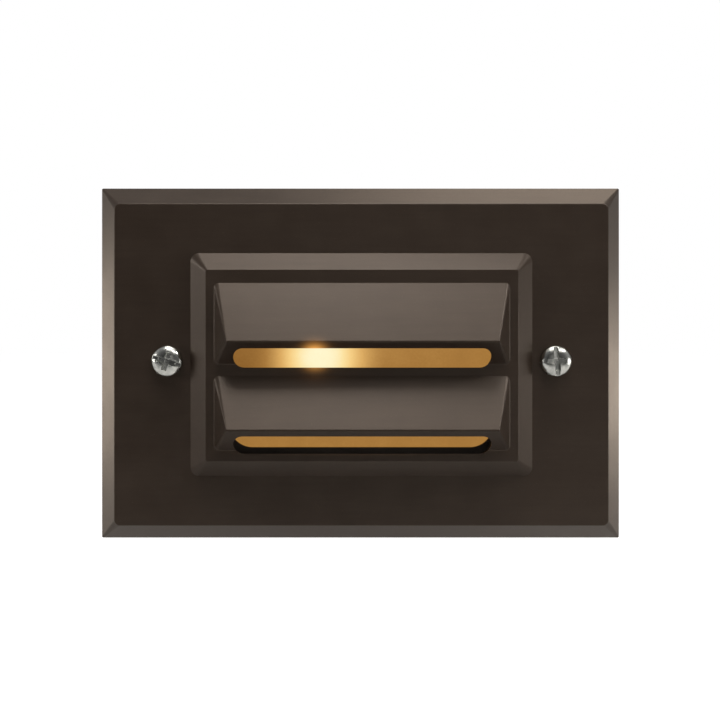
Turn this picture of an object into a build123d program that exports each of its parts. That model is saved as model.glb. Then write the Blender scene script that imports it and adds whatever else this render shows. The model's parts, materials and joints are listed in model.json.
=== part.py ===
from build123d import *

import math
import os

# Louvred step light, set into a wall or a stair riser. Millimetres, +Z up, the light faces -Y.
# The origin is the middle of the face plate on the wall plane. "Stand" is the distance in front
# of the wall plane (y = -stand), so a negative stand lies inside the wall.

# Face plate: border
FACE_WIDTH = 114.3
FACE_HEIGHT = 77.2
FACE_LIP = 1.2  # straight edge next to the wall
FACE_STAND = 7.2  # flat front of the plate
FACE_WALL = 2.6
FACE_CORNER = 0.3
FLAT_CORNER = 1.3
BORDER_BEVEL = 4.0  # width of the sloping border, seen from the front
EDGE_ROUND = 0.25  # softened edge of the cast flats

# Face plate: raised pad between the face screws
FACE_SCREW_SPACING = 83.34  # standard device-box spacing
FACE_SCREW_RAISE = 0.8  # face screws above the plate's middle
PAD_TO_SCREW = 4.92  # pad's side to the middle of a face screw
PAD_HEIGHT = 47.9
PAD_BEVEL = 3.65  # width of the pad's sloping edge, seen from the front
PAD_RISE = 3.6
PAD_CORNER = 1.8
PAD_TOP_CORNER = 0.5
PAD_WALL = 4.0

# Face plate: louvre hoods, one above the other on the pad's flat
HOOD_COUNT = 2
HOOD_HEAD = 2.8  # flat above the upper hood
HOOD_STEP = 2.42  # flat below the lower hood
HOOD_GAP = 2.55  # flat between two hoods
FIRST_HOOD_MORE = 1.47  # how much taller the upper hood is than the one below it
HOOD_SIDE = 1.85  # flat beside the hoods
HOOD_RISE = 6.4  # front edge ahead of the pad
HOOD_LEAN = 3.2  # each side leans in this far at the front edge
HOOD_EDGE = 0.36  # blunt thickness of the front edge
HOOD_EDGE_ROUND = 0.16
HOOD_ROUND = 0.9  # rounding of the slanting edges at the pad
HOOD_FOOT = 0.3  # small fillet where a hood meets the pad
HOOD_WALL = 2.5
HOLLOW_HEAD = 1.0  # top of a hood's hollow below the hood's top edge

# Face plate: slots in the undersides of the hoods, with rounded ends
SLOT_HEIGHT = 4.28
SLOT_SILL = 0.77  # slot's lower edge below the hood's foot
SLOT_BROW = 1.44  # underside left above the slot
SLOT_END = 1.05  # hood's front edge beyond the slot's end
SLOT_DRAFT = 0.16  # a slot widens this much on each side for each millimetre towards the lens

# Lens, its seal and its retainer, in a pocket behind the pad
LENS_INSET_X = 4.75  # lens inside the pad's foot
LENS_INSET_Z = 3.95
LENS_THICK = 3.0
LENS_CORNER = 2.0
LENS_CLEAR = 0.4
LENS_SEAL_THICK = 0.8
LENS_RIM_X = 3.5  # lens covered by its seal and retainer
LENS_RIM_Z = 2.1
WINDOW_CORNER = 5.0
RETAINER_THICK = 1.0
RETAINER_RIM = 3.0  # retainer beyond the lens at the top and bottom
RETAINER_EAR = 4.6  # retainer beyond the lens at the sides
RETAINER_SCREW_INSET_X = 2.0  # screw centre from the retainer's side
RETAINER_SCREW_INSET_Z = 10.0
RETAINER_BOSS_RADIUS = 2.0

# Screws
FACE_THREAD_RADIUS = 1.75
FACE_HEAD_RADIUS = 3.35
FACE_HEAD_RISE = 2.3
FACE_HEAD_EDGE = 0.85  # straight side of the pan head
FACE_SCREW_LENGTH = 19.0
FACE_SCREW_TURN_LEFT = -17.0  # how far the driver slot is turned
FACE_SCREW_TURN_RIGHT = 95.0
RECESS_DEPTH = 1.65  # cross recess in the face screws' heads
RECESS_TOP = 3.7  # across the cross at the head's top, then at its floor
RECESS_FLOOR = 1.7
RECESS_WIDTH = 1.0  # width of its wings, top then floor
RECESS_FLOOR_WIDTH = 0.65
SMALL_THREAD_RADIUS = 1.0
SMALL_HEAD_RADIUS = 1.9
SMALL_HEAD_RISE = 1.3
SMALL_SCREW_LENGTH = 5.0
MEDIUM_THREAD_RADIUS = 1.5
MEDIUM_HEAD_RADIUS = 2.7
MEDIUM_HEAD_RISE = 1.8
MEDIUM_SCREW_LENGTH = 8.0
DRIVER_SLOT = 0.8
TIP_CHAMFER = 0.4
TIP_CLEAR = 0.2
SCREW_HOLE_CLEAR = 0.25
THREAD_CLEAR = 0.1
SMALL_THREAD_CLEAR = 0.02

# Rear housing
BOX_GAP_X = 1.4  # mouth beyond the lens retainer
BOX_GAP_Z = 2.0
BOX_DEPTH = 52.0  # wall plane to the outside of the rear wall
BOX_WALL = 2.5
BOX_CORNER = 4.0
BOX_DRAFT = 0.8  # the casting narrows this much on each side towards the rear
FLANGE_GAP_X = 2.05  # flange inside the face plate's side wall
FLANGE_GAP_Z = 2.5
FLANGE_THICK = 2.0
FLANGE_CORNER = 4.0
WALL_HOLE_INSET_X = 4.5  # wall fixing holes from the flange's edges
WALL_HOLE_INSET_Z = 6.5
WALL_HOLE_RADIUS = 2.25
EAR_RADIUS = 4.2
EAR_DEPTH = 17.0
EAR_FLOOR = 2.0
POST_RADIUS = 3.3

# Seal between the face plate and the flange
SEAL_BEYOND_SCREW = 2.93
SEAL_RIM = 3.2  # width of the seal above and below the housing's mouth
SEAL_CORNER = 3.0
SEAT_GAP = 0.1

# Lamp: wedge-base tube of 16 mm, lying along X
LAMP_Z = 1.3
LAMP_DEPTH = 15.0  # lamp's axis behind the wall plane
LAMP_RADIUS = 7.95
LAMP_GLASS = 0.7
LAMP_LIGHT_CENTRE = 21.0  # filament from the end of the wedge
LAMP_LENGTH = 38.0
SHOULDER_BULGE = 0.6  # how far the shoulder swells past a straight cone
NECK_RADIUS = 4.7
NECK_LENGTH = 10.0
NECK_GLASS = 1.05  # solid glass between the wedge and the hollow
WEDGE_LENGTH = 9.5  # length held in the socket
WEDGE_WIDTH = 9.2
WEDGE_THICK = 2.2
WEDGE_CORNER = 0.66
LEAD_WIRE = 0.25  # radius of the lamp's own wires
LEAD_WIRE_SIDES = 8
LEAD_WIRE_OFFSET = 1.2
LEAD_WIRE_BACK = 6.65  # folded back this far along the wedge
FILAMENT_LENGTH = 6.0
FILAMENT_RADIUS = 0.4

# Lamp socket, its contacts and its bracket
SOCKET_ROOM = 4.5  # between the housing's side and the socket, for the leads
SOCKET_SIDE = 2.5  # wall beside the wedge
SOCKET_ROOF = 3.05  # wall above and below the contacts
SOCKET_CORNER = 1.5
SOCKET_COLLAR = 1.2
SOCKET_COLLAR_LENGTH = 2.5
SOCKET_BASE = 2.0  # solid end behind the wedge
WEDGE_CLEAR = 0.4
END_CLEAR = 0.8
CONTACT_THICK = 0.4
CONTACT_WIDTH = 4.0
CONTACT_GAP = 0.05
CONTACT_REST = 0.35  # how far a contact's ends lie back from its bump
CONTACT_BUMP_X = 5.7  # bump from the end of the wedge
CONTACT_TAIL = 4.0
CONTACT_TAIL_WIDTH = 1.8
CONTACT_TAIL_GAP = 0.1  # tail behind the socket
BRACKET_THICK = 1.0
BRACKET_RIM_FRONT = 1.5  # tab beyond the socket's body
BRACKET_RIM_Z = 4.5
BRACKET_DROP = 2.3  # foot behind the socket's collar
BRACKET_SCREW_SPREAD = 30.0
BRACKET_SCREW_INSET = 5.0
BRACKET_EDGE = 4.0  # foot beyond its screws

# Reflector
REFLECTOR_THICK = 0.8
REFLECTOR_GAP = 2.5  # mouth inside the housing's
REFLECTOR_SETBACK = 4.0  # its front edge, behind the wall plane
REFLECTOR_FLARE_Z = 8.5  # upper and lower wings open this far towards the mouth
REFLECTOR_FLARE_X = 5.5
REFLECTOR_LAMP_GAP = 0.25  # between the screw heads and the lamp
REFLECTOR_SOCKET_GAP = 1.2
REFLECTOR_SCREW_INSET = 6.0

# Terminal block
BLOCK_X = 4.0
BLOCK_Z = -11.0
BLOCK_WIDTH = 16.0
BLOCK_DEPTH = 12.0
BLOCK_CORNER = 1.0
BLOCK_EDGE = 4.3  # block above and below its poles
BLOCK_WEB = 0.65  # between the middle hole and a sleeve
BLOCK_STAND_OFF = 3.0
BLOCK_POST_RADIUS = 3.5
SLEEVE_RADIUS = 2.3
SLEEVE_BORE = 1.5
POLE_SCREW_OFFSET = 4.6
POLE_SCREW_SINK = 0.8

# Leads inside the housing: bends as steps (x, y, z) from the contact's tail
LEAD_RADIUS = 0.9
LEAD_CLEAR = 0.05
UPPER_BENDS = [(0.0, 9.0, 0.0), (2.0, 17.0, -3.0), (10.0, 20.5, -8.0)]
LOWER_BENDS = [(0.0, 9.0, 0.0), (1.5, 17.0, -3.1), (9.5, 21.5, -7.7)]
LEAD_LAST_RUN = 11.0
BEND_SHARE = 0.45  # share of the shorter run that an arc takes

# Cable gland in the rear wall
GLAND_X = 8.0
GLAND_BLOCK_GAP = 2.5  # locknut above the terminal block
GLAND_RADIUS = 8.0
GLAND_BORE = 5.2
GLAND_FLATS = 21.0
GLAND_FLANGE = 5.0
GLAND_TAIL = 9.0  # threaded length behind its flange
GLAND_CLEAR = 0.15
GLAND_END = 1.0  # thread past the locknut
LOCKNUT_THICK = 4.0
CABLE_BORE = 3.2
NUT_LENGTH = 12.0
NUT_HEX_LENGTH = 6.0
NUT_GAP = 1.0
NUT_DOME = 7.56
NUT_MOUTH = 4.4

NEAR = 0.01

# Sizes and places that follow, from the face to the rear
FACE_SCREW_X = FACE_SCREW_SPACING / 2
FACE_BACK = FACE_STAND - FACE_WALL
PAD_STAND = FACE_STAND + PAD_RISE
PAD_WIDTH = FACE_SCREW_SPACING - 2 * PAD_TO_SCREW
PAD_TOP_WIDTH = PAD_WIDTH - 2 * PAD_BEVEL
PAD_TOP_HEIGHT = PAD_HEIGHT - 2 * PAD_BEVEL
HOOD_STAND = PAD_STAND + HOOD_RISE
HOOD_TOP = PAD_TOP_HEIGHT / 2 - HOOD_HEAD
HOOD_ROWS = PAD_TOP_HEIGHT - HOOD_HEAD - HOOD_STEP
HOOD_PITCH = (HOOD_ROWS + HOOD_GAP - FIRST_HOOD_MORE) / HOOD_COUNT
HOOD_HEIGHT = HOOD_PITCH - HOOD_GAP
HOOD_UNDERSIDE = SLOT_HEIGHT - SLOT_SILL + SLOT_BROW
UNDER_SLOPE = HOOD_RISE / HOOD_UNDERSIDE
HOOD_WIDTH = PAD_TOP_WIDTH - 2 * HOOD_SIDE
HOOD_EDGE_WIDTH = HOOD_WIDTH - 2 * HOOD_LEAN
SLOT_LENGTH = HOOD_EDGE_WIDTH - 2 * SLOT_END
SLOT_STAND = PAD_STAND + UNDER_SLOPE * (SLOT_HEIGHT - SLOT_SILL) / 2
POCKET_FLOOR = PAD_STAND - PAD_WALL
LENS_WIDTH = PAD_WIDTH - 2 * LENS_INSET_X
LENS_HEIGHT = PAD_HEIGHT - 2 * LENS_INSET_Z
LENS_FRONT = POCKET_FLOOR - LENS_SEAL_THICK
LENS_BACK = LENS_FRONT - LENS_THICK
WINDOW_WIDTH = LENS_WIDTH - 2 * LENS_RIM_X
WINDOW_HEIGHT = LENS_HEIGHT - 2 * LENS_RIM_Z
RETAINER_BACK = LENS_BACK - RETAINER_THICK
RETAINER_WIDTH = LENS_WIDTH + 2 * RETAINER_EAR
RETAINER_HEIGHT = LENS_HEIGHT + 2 * RETAINER_RIM
RETAINER_SCREW_X = RETAINER_WIDTH / 2 - RETAINER_SCREW_INSET_X
RETAINER_SCREW_Z = RETAINER_HEIGHT / 2 - RETAINER_SCREW_INSET_Z
SMALL_SCREW = (SMALL_THREAD_RADIUS, SMALL_HEAD_RADIUS, SMALL_HEAD_RISE)
MEDIUM_SCREW = (MEDIUM_THREAD_RADIUS, MEDIUM_HEAD_RADIUS, MEDIUM_HEAD_RISE)
MEDIUM_HOLE = MEDIUM_THREAD_RADIUS + SCREW_HOLE_CLEAR
SMALL_HOLE = SMALL_THREAD_RADIUS + SCREW_HOLE_CLEAR
SMALL_TAPPED = SMALL_THREAD_RADIUS + SMALL_THREAD_CLEAR
FACE_SCREW_HOLE = FACE_THREAD_RADIUS + SCREW_HOLE_CLEAR
FACE_SCREW_TAPPED = FACE_THREAD_RADIUS + THREAD_CLEAR
FLANGE_WIDTH = FACE_WIDTH - 2 * FACE_WALL - 2 * FLANGE_GAP_X
FLANGE_HEIGHT = FACE_HEIGHT - 2 * FACE_WALL - 2 * FLANGE_GAP_Z
WALL_HOLE_X = FLANGE_WIDTH / 2 - WALL_HOLE_INSET_X
WALL_HOLE_Z = FLANGE_HEIGHT / 2 - WALL_HOLE_INSET_Z
BOX_INNER_WIDTH = RETAINER_WIDTH + 2 * BOX_GAP_X
BOX_INNER_HEIGHT = RETAINER_HEIGHT + 2 * BOX_GAP_Z
BOX_OUTER_WIDTH = BOX_INNER_WIDTH + 2 * BOX_WALL
BOX_OUTER_HEIGHT = BOX_INNER_HEIGHT + 2 * BOX_WALL
BOX_FLOOR = -(BOX_DEPTH - BOX_WALL)
SEAL_WIDTH = FACE_SCREW_SPACING + 2 * SEAL_BEYOND_SCREW
SEAL_HEIGHT = BOX_INNER_HEIGHT + 2 * SEAL_RIM
SOCKET_REAR = SOCKET_ROOM - BOX_INNER_WIDTH / 2
SOCKET_FLOOR = SOCKET_REAR + SOCKET_BASE
BRACKET_TAB_X = SOCKET_REAR + SOCKET_COLLAR_LENGTH
WEDGE_END = SOCKET_FLOOR + END_CLEAR
SOCKET_MOUTH = WEDGE_END + WEDGE_LENGTH
NECK_START = SOCKET_MOUTH + END_CLEAR
LAMP_X = WEDGE_END + LAMP_LIGHT_CENTRE
LAMP_TIP = WEDGE_END + LAMP_LENGTH
LAMP_STAND = -LAMP_DEPTH
CONTACT_BUMP = WEDGE_THICK / 2 + 2 * LEAD_WIRE + CONTACT_GAP + CONTACT_THICK / 2
CONTACT_LINE = CONTACT_BUMP + CONTACT_REST
CONTACT_TAIL_X = SOCKET_REAR - CONTACT_TAIL_GAP - CONTACT_TAIL_WIDTH / 2
SOCKET_CAVITY_WIDTH = WEDGE_WIDTH + 2 * WEDGE_CLEAR
SOCKET_CAVITY_HEIGHT = 2 * CONTACT_LINE + CONTACT_THICK + 2 * CONTACT_GAP
SOCKET_WIDTH = SOCKET_CAVITY_WIDTH + 2 * SOCKET_SIDE
SOCKET_HEIGHT = SOCKET_CAVITY_HEIGHT + 2 * SOCKET_ROOF
BRACKET_STAND = LAMP_STAND - SOCKET_WIDTH / 2 - SOCKET_COLLAR - BRACKET_DROP
BRACKET_SCREW_X = BRACKET_TAB_X + BRACKET_SCREW_INSET
REFLECTOR_BACK = LAMP_STAND - LAMP_RADIUS - MEDIUM_HEAD_RISE - REFLECTOR_LAMP_GAP
REFLECTOR_FRONT = -REFLECTOR_SETBACK
REFLECTOR_MOUTH_HEIGHT = BOX_INNER_HEIGHT - 2 * REFLECTOR_GAP
REFLECTOR_BACK_HEIGHT = REFLECTOR_MOUTH_HEIGHT - 2 * REFLECTOR_FLARE_Z
REFLECTOR_LEFT = SOCKET_MOUTH + REFLECTOR_SOCKET_GAP
REFLECTOR_MOUTH_RIGHT = BOX_INNER_WIDTH / 2 - REFLECTOR_GAP
REFLECTOR_BACK_RIGHT = REFLECTOR_MOUTH_RIGHT - REFLECTOR_FLARE_X
REFLECTOR_SCREWS = (REFLECTOR_LEFT + REFLECTOR_SCREW_INSET, REFLECTOR_BACK_RIGHT - REFLECTOR_SCREW_INSET)
POLE_REACH = SLEEVE_RADIUS + BLOCK_WEB + MEDIUM_HOLE  # pole from the block's middle
BLOCK_HEIGHT = 2 * POLE_REACH + 2 * BLOCK_EDGE
BLOCK_LEFT = BLOCK_X - BLOCK_WIDTH / 2
BLOCK_RIGHT = BLOCK_X + BLOCK_WIDTH / 2
BLOCK_BACK = BOX_FLOOR + BLOCK_STAND_OFF
BLOCK_FRONT = BLOCK_BACK + BLOCK_DEPTH
POLE_STAND = BLOCK_BACK + BLOCK_DEPTH / 2
GLAND_Z = BLOCK_Z + BLOCK_HEIGHT / 2 + GLAND_BLOCK_GAP + GLAND_FLATS / 2
GLAND_HEX_REAR = -BOX_DEPTH - GLAND_FLANGE
GLAND_REAR = GLAND_HEX_REAR - GLAND_TAIL
GLAND_FRONT = BOX_FLOOR + LOCKNUT_THICK + GLAND_END
NUT_FRONT = GLAND_HEX_REAR - NUT_GAP
NUT_REAR = NUT_FRONT - NUT_LENGTH


def level(stand):
    """Plane parallel to the wall, that far in front of it: local x is X and local y is Z."""
    return Plane.XZ.offset(stand)


def slab(sketch, rear, front):
    """A sketch carried from one stand to another in front of it."""
    return extrude(level(rear) * sketch, amount=front - rear)


def flare(rear_sketch, rear, front_sketch, front):
    """Straight-sided solid between two sketches at two stands."""
    return loft([level(rear) * rear_sketch, level(front) * front_sketch], ruled=True)


def rounded(width, height, corner, x=0.0, z=0.0):
    return Pos(x, z) * RectangleRounded(width, height, corner)


def rod(x, z, radius, rear, front):
    """Round bar along Y."""
    return slab(Pos(x, z) * Circle(radius), rear, front)


def both_sides(distance):
    return (-distance, distance)


def four_corners(x, z):
    return [(side_x, side_z) for side_x in both_sides(x) for side_z in both_sides(z)]


def join(parts):
    """One node that holds several pieces that don't touch."""
    return Compound(children=list(parts))


def screw(x, z, seat, size, length):
    """Slotted cheese-head screw along Y, with its head's seat at that stand and its point to the rear."""
    thread, head, rise = size
    slot = Pos(x, z) * Rectangle(2 * head, DRIVER_SLOT)
    body = rod(x, z, thread, seat - length, seat) + rod(x, z, head, seat, seat + rise)
    return body - slab(slot, seat + rise / 2, seat + rise)


def rear_screw(x, z, seat, size, length):
    """Screw driven from behind: its head faces the rear."""
    return Rot(0, 0, 180) * screw(-x, z, -seat, size, length)


def hood_heights(index):
    """Heights of one hood's top edge, front edge and foot."""
    foot = HOOD_TOP - FIRST_HOOD_MORE - HOOD_HEIGHT - index * HOOD_PITCH
    top = HOOD_TOP if index == 0 else foot + HOOD_HEIGHT
    return top, foot + HOOD_UNDERSIDE, foot


def hood_solid(index):
    """Wedge with leaning sides: from its rectangle on the pad to its front edge."""
    top, edge, foot = hood_heights(index)
    base = rounded(HOOD_WIDTH, top - foot, HOOD_ROUND, z=(top + foot) / 2)
    ridge = rounded(HOOD_EDGE_WIDTH, HOOD_EDGE, HOOD_EDGE_ROUND, z=edge)
    return flare(base, PAD_STAND, ridge, HOOD_STAND)


def hood_hollow(index):
    """Hollow behind a hood, one wall inside its front face, underside and ends."""
    top, edge, foot = hood_heights(index)
    brow_slope = HOOD_RISE / (top - edge)
    brow_wall = HOOD_WALL * math.hypot(1, brow_slope)
    under_wall = HOOD_WALL * math.hypot(1, UNDER_SLOPE)
    ridge_z = (top * brow_slope + foot * UNDER_SLOPE + under_wall - brow_wall) / (brow_slope + UNDER_SLOPE)
    ridge_stand = PAD_STAND - under_wall + (ridge_z - foot) * UNDER_SLOPE
    low = foot + (POCKET_FLOOR - PAD_STAND + under_wall) / UNDER_SLOPE
    high = top - HOLLOW_HEAD
    side_slope = HOOD_LEAN / HOOD_RISE
    width_at_pad = HOOD_WIDTH - 2 * HOOD_WALL * math.hypot(1, side_slope)
    base_width = width_at_pad + 2 * side_slope * PAD_WALL - HOOD_WALL
    ridge_width = base_width - 2 * side_slope * (ridge_stand - POCKET_FLOOR)
    base = rounded(base_width, high - low, HOOD_ROUND, z=(high + low) / 2)
    ridge = rounded(ridge_width, HOOD_EDGE, HOOD_EDGE_ROUND, z=ridge_z)
    return flare(base, POCKET_FLOOR, ridge, ridge_stand)


def hood_slot(index):
    """Slot with rounded ends through the hood's underside, wider towards the lens on every side."""
    foot = hood_heights(index)[2]
    middle = foot - SLOT_SILL + SLOT_HEIGHT / 2 + SLOT_DRAFT * (SLOT_STAND - PAD_STAND)
    outlines = []
    for stand in (FACE_BACK, HOOD_STAND):
        wider = 2 * SLOT_DRAFT * (SLOT_STAND - stand)
        outlines.append(Pos(0, middle) * SlotOverall(SLOT_LENGTH + wider, SLOT_HEIGHT + wider))
    return flare(outlines[0], FACE_BACK, outlines[1], HOOD_STAND)


def edges_at(solid, stand, half_width, half_height):
    """Edges at one stand that lie inside a rectangle round the middle."""
    found = []
    for edge in solid.edges():
        box = edge.bounding_box()
        level_edge = abs(box.min.Y + stand) < NEAR and abs(box.max.Y + stand) < NEAR
        inside_x = max(-box.min.X, box.max.X) < half_width + NEAR
        inside_z = max(-box.min.Z, box.max.Z) < half_height + NEAR
        if level_edge and inside_x and inside_z:
            found.append(edge)
    return found


def face_front():
    """Outside of the face, still solid: bevelled border, raised pad and hoods, with softened edges."""
    flat_width = FACE_WIDTH - 2 * BORDER_BEVEL
    flat_height = FACE_HEIGHT - 2 * BORDER_BEVEL
    rim = rounded(FACE_WIDTH, FACE_HEIGHT, FACE_CORNER)
    plate = slab(rim, 0, FACE_LIP)
    plate += flare(rim, FACE_LIP, rounded(flat_width, flat_height, FLAT_CORNER), FACE_STAND)
    plate = fillet(edges_at(plate, FACE_STAND, flat_width / 2, flat_height / 2), EDGE_ROUND)
    pad_foot = rounded(PAD_WIDTH, PAD_HEIGHT, PAD_CORNER)
    pad_top = rounded(PAD_TOP_WIDTH, PAD_TOP_HEIGHT, PAD_TOP_CORNER)
    pad = flare(pad_foot, FACE_STAND, pad_top, PAD_STAND)
    pad = fillet(edges_at(pad, PAD_STAND, PAD_TOP_WIDTH / 2, PAD_TOP_HEIGHT / 2), EDGE_ROUND)
    plate += pad
    for index in range(HOOD_COUNT):
        plate += hood_solid(index)
    hood_feet = edges_at(plate, PAD_STAND, HOOD_WIDTH / 2, PAD_TOP_HEIGHT / 2 - HOOD_STEP)
    return fillet(hood_feet, HOOD_FOOT)


def face_plate():
    """Cast face: its front, hollow behind, with the lens pocket, slots and screw holes."""
    plate = face_front()
    bevel_slope = BORDER_BEVEL / (FACE_STAND - FACE_LIP)
    mouth_depth = FACE_LIP / 2
    back_inset = FACE_WALL + bevel_slope * (FACE_BACK - FACE_LIP)
    mouth = rounded(FACE_WIDTH - 2 * FACE_WALL, FACE_HEIGHT - 2 * FACE_WALL, FACE_CORNER)
    roof = rounded(FACE_WIDTH - 2 * back_inset, FACE_HEIGHT - 2 * back_inset, FACE_CORNER)
    plate -= slab(mouth, 0, mouth_depth)
    plate -= flare(mouth, mouth_depth, roof, FACE_BACK)
    screw_end = RETAINER_BACK + SMALL_SCREW_LENGTH + TIP_CLEAR
    for x, z in four_corners(RETAINER_SCREW_X, RETAINER_SCREW_Z):
        plate += rod(x, z, RETAINER_BOSS_RADIUS, LENS_BACK, FACE_BACK)
        plate -= rod(x, z, SMALL_TAPPED, LENS_BACK, screw_end)
    pocket = rounded(LENS_WIDTH + 2 * LENS_CLEAR, LENS_HEIGHT + 2 * LENS_CLEAR, LENS_CORNER)
    plate -= slab(pocket, LENS_BACK, POCKET_FLOOR)
    for index in range(HOOD_COUNT):
        plate -= hood_hollow(index)
        plate -= hood_slot(index)
    for x in both_sides(FACE_SCREW_X):
        plate -= rod(x, FACE_SCREW_RAISE, FACE_SCREW_HOLE, FACE_BACK, FACE_STAND)
    return plate


def lens():
    """Frosted amber glass behind the slots."""
    return slab(rounded(LENS_WIDTH, LENS_HEIGHT, LENS_CORNER), LENS_BACK, LENS_FRONT)


def window_frame(width, height, rear, front):
    """Flat frame round the light opening."""
    frame = slab(rounded(width, height, LENS_CORNER), rear, front)
    return frame - slab(rounded(WINDOW_WIDTH, WINDOW_HEIGHT, WINDOW_CORNER), rear, front)


def lens_gasket():
    return window_frame(LENS_WIDTH, LENS_HEIGHT, LENS_FRONT, POCKET_FLOOR)


def lens_retainer():
    """Sheet frame that holds the lens in the face plate's pocket."""
    frame = window_frame(RETAINER_WIDTH, RETAINER_HEIGHT, RETAINER_BACK, LENS_BACK)
    for x, z in four_corners(RETAINER_SCREW_X, RETAINER_SCREW_Z):
        frame -= rod(x, z, SMALL_HOLE, RETAINER_BACK, LENS_BACK)
    return frame


def lens_retainer_screws():
    return join(
        rear_screw(x, z, RETAINER_BACK, SMALL_SCREW, SMALL_SCREW_LENGTH)
        for x, z in four_corners(RETAINER_SCREW_X, RETAINER_SCREW_Z)
    )


def face_gasket():
    """Foam seal between the back of the face plate and the housing's flange."""
    rear = FLANGE_THICK + SEAT_GAP
    seal = slab(rounded(SEAL_WIDTH, SEAL_HEIGHT, SEAL_CORNER), rear, FACE_BACK)
    seal -= slab(rounded(BOX_INNER_WIDTH, BOX_INNER_HEIGHT, BOX_CORNER), rear, FACE_BACK)
    for x in both_sides(FACE_SCREW_X):
        seal -= rod(x, FACE_SCREW_RAISE, FACE_SCREW_HOLE, rear, FACE_BACK)
    return seal


def cross_wing():
    """One pair of wings of the cross recess, narrowing to its floor."""
    top = Plane.XY.offset(FACE_HEAD_RISE) * Rectangle(RECESS_TOP, RECESS_WIDTH)
    floor_plane = Plane.XY.offset(FACE_HEAD_RISE - RECESS_DEPTH)
    return loft([top, floor_plane * Rectangle(RECESS_FLOOR, RECESS_FLOOR_WIDTH)], ruled=True)


def face_screw(x, turn):
    """Pan-head machine screw with a driver slot across a cross recess."""
    side = (FACE_HEAD_RADIUS, FACE_HEAD_EDGE)
    crown = (0, FACE_HEAD_RISE)
    quarter = math.sqrt(0.5)
    bulge = (FACE_HEAD_RADIUS * quarter, FACE_HEAD_EDGE + (FACE_HEAD_RISE - FACE_HEAD_EDGE) * quarter)
    tip_radius = FACE_THREAD_RADIUS - TIP_CHAMFER
    tip = (0, -FACE_SCREW_LENGTH)
    shank = Polyline(
        tip,
        (tip_radius, -FACE_SCREW_LENGTH),
        (FACE_THREAD_RADIUS, TIP_CHAMFER - FACE_SCREW_LENGTH),
        (FACE_THREAD_RADIUS, 0),
        (FACE_HEAD_RADIUS, 0),
        side,
    )
    outline = [shank, ThreePointArc(side, bulge, crown), Line(crown, tip)]
    body = revolve(Plane.XZ * make_face(outline), Axis.Z)
    body -= Pos(0, 0, FACE_HEAD_RISE) * Box(3 * FACE_HEAD_RADIUS, DRIVER_SLOT, FACE_HEAD_RISE)
    body -= cross_wing()
    body -= Rot(0, 0, 90) * cross_wing()
    return level(FACE_STAND).location * Pos(x, FACE_SCREW_RAISE) * Rot(0, 0, turn) * body


def tapped_post(x, z, radius, front, depth):
    """Post on the housing's rear wall, and the hole tapped in its front."""
    post = rod(x, z, radius, BOX_FLOOR, front)
    hole = rod(x, z, MEDIUM_THREAD_RADIUS + SMALL_THREAD_CLEAR, front - depth, front)
    return post, hole


def housing_posts():
    """Posts for the socket's bracket, the reflector and the terminal block, with their holes."""
    bracket_rear = BRACKET_STAND - BRACKET_THICK
    reflector_rear = REFLECTOR_BACK - REFLECTOR_THICK
    posts = [tapped_post(BLOCK_X, BLOCK_Z, BLOCK_POST_RADIUS, BLOCK_BACK, BLOCK_STAND_OFF)]
    for z in both_sides(BRACKET_SCREW_SPREAD / 2):
        posts.append(tapped_post(BRACKET_SCREW_X, z, POST_RADIUS, bracket_rear, MEDIUM_SCREW_LENGTH))
    for x in REFLECTOR_SCREWS:
        posts.append(tapped_post(x, 0, POST_RADIUS, reflector_rear, MEDIUM_SCREW_LENGTH))
    return posts


def rear_housing():
    """Cast box with a flange on the wall, ears for the face screws and posts inside."""
    drafted = 2 * BOX_DRAFT
    outer_corner = BOX_CORNER + BOX_WALL
    rear_outer = rounded(BOX_OUTER_WIDTH - drafted, BOX_OUTER_HEIGHT - drafted, outer_corner)
    front_outer = rounded(BOX_OUTER_WIDTH, BOX_OUTER_HEIGHT, outer_corner)
    rear_inner = rounded(BOX_INNER_WIDTH - drafted, BOX_INNER_HEIGHT - drafted, BOX_CORNER)
    front_inner = rounded(BOX_INNER_WIDTH, BOX_INNER_HEIGHT, BOX_CORNER)
    box = flare(rear_outer, -BOX_DEPTH, front_outer, 0)
    box += slab(rounded(FLANGE_WIDTH, FLANGE_HEIGHT, FLANGE_CORNER), 0, FLANGE_THICK)
    box -= flare(rear_inner, BOX_FLOOR, front_inner, FLANGE_THICK)
    for x in both_sides(FACE_SCREW_X):
        box += rod(x, FACE_SCREW_RAISE, EAR_RADIUS, -EAR_DEPTH, FLANGE_THICK)
        box -= rod(x, FACE_SCREW_RAISE, FACE_SCREW_TAPPED, EAR_FLOOR - EAR_DEPTH, FLANGE_THICK)
    for x, z in four_corners(WALL_HOLE_X, WALL_HOLE_Z):
        box -= rod(x, z, WALL_HOLE_RADIUS, 0, FLANGE_THICK)
    for post, hole in housing_posts():
        box += post
        box -= hole
    return box - rod(GLAND_X, GLAND_Z, GLAND_RADIUS + GLAND_CLEAR, -BOX_DEPTH, BOX_FLOOR)


def reflector_cone(grow, rear):
    """Flared block between the reflector's mouth and its back, grown on every side."""
    back = Rectangle(2 * (REFLECTOR_BACK_RIGHT + grow), REFLECTOR_BACK_HEIGHT + 2 * grow)
    mouth = Rectangle(2 * (REFLECTOR_MOUTH_RIGHT + grow), REFLECTOR_MOUTH_HEIGHT + 2 * grow)
    return flare(back, rear, mouth, REFLECTOR_FRONT)


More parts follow.
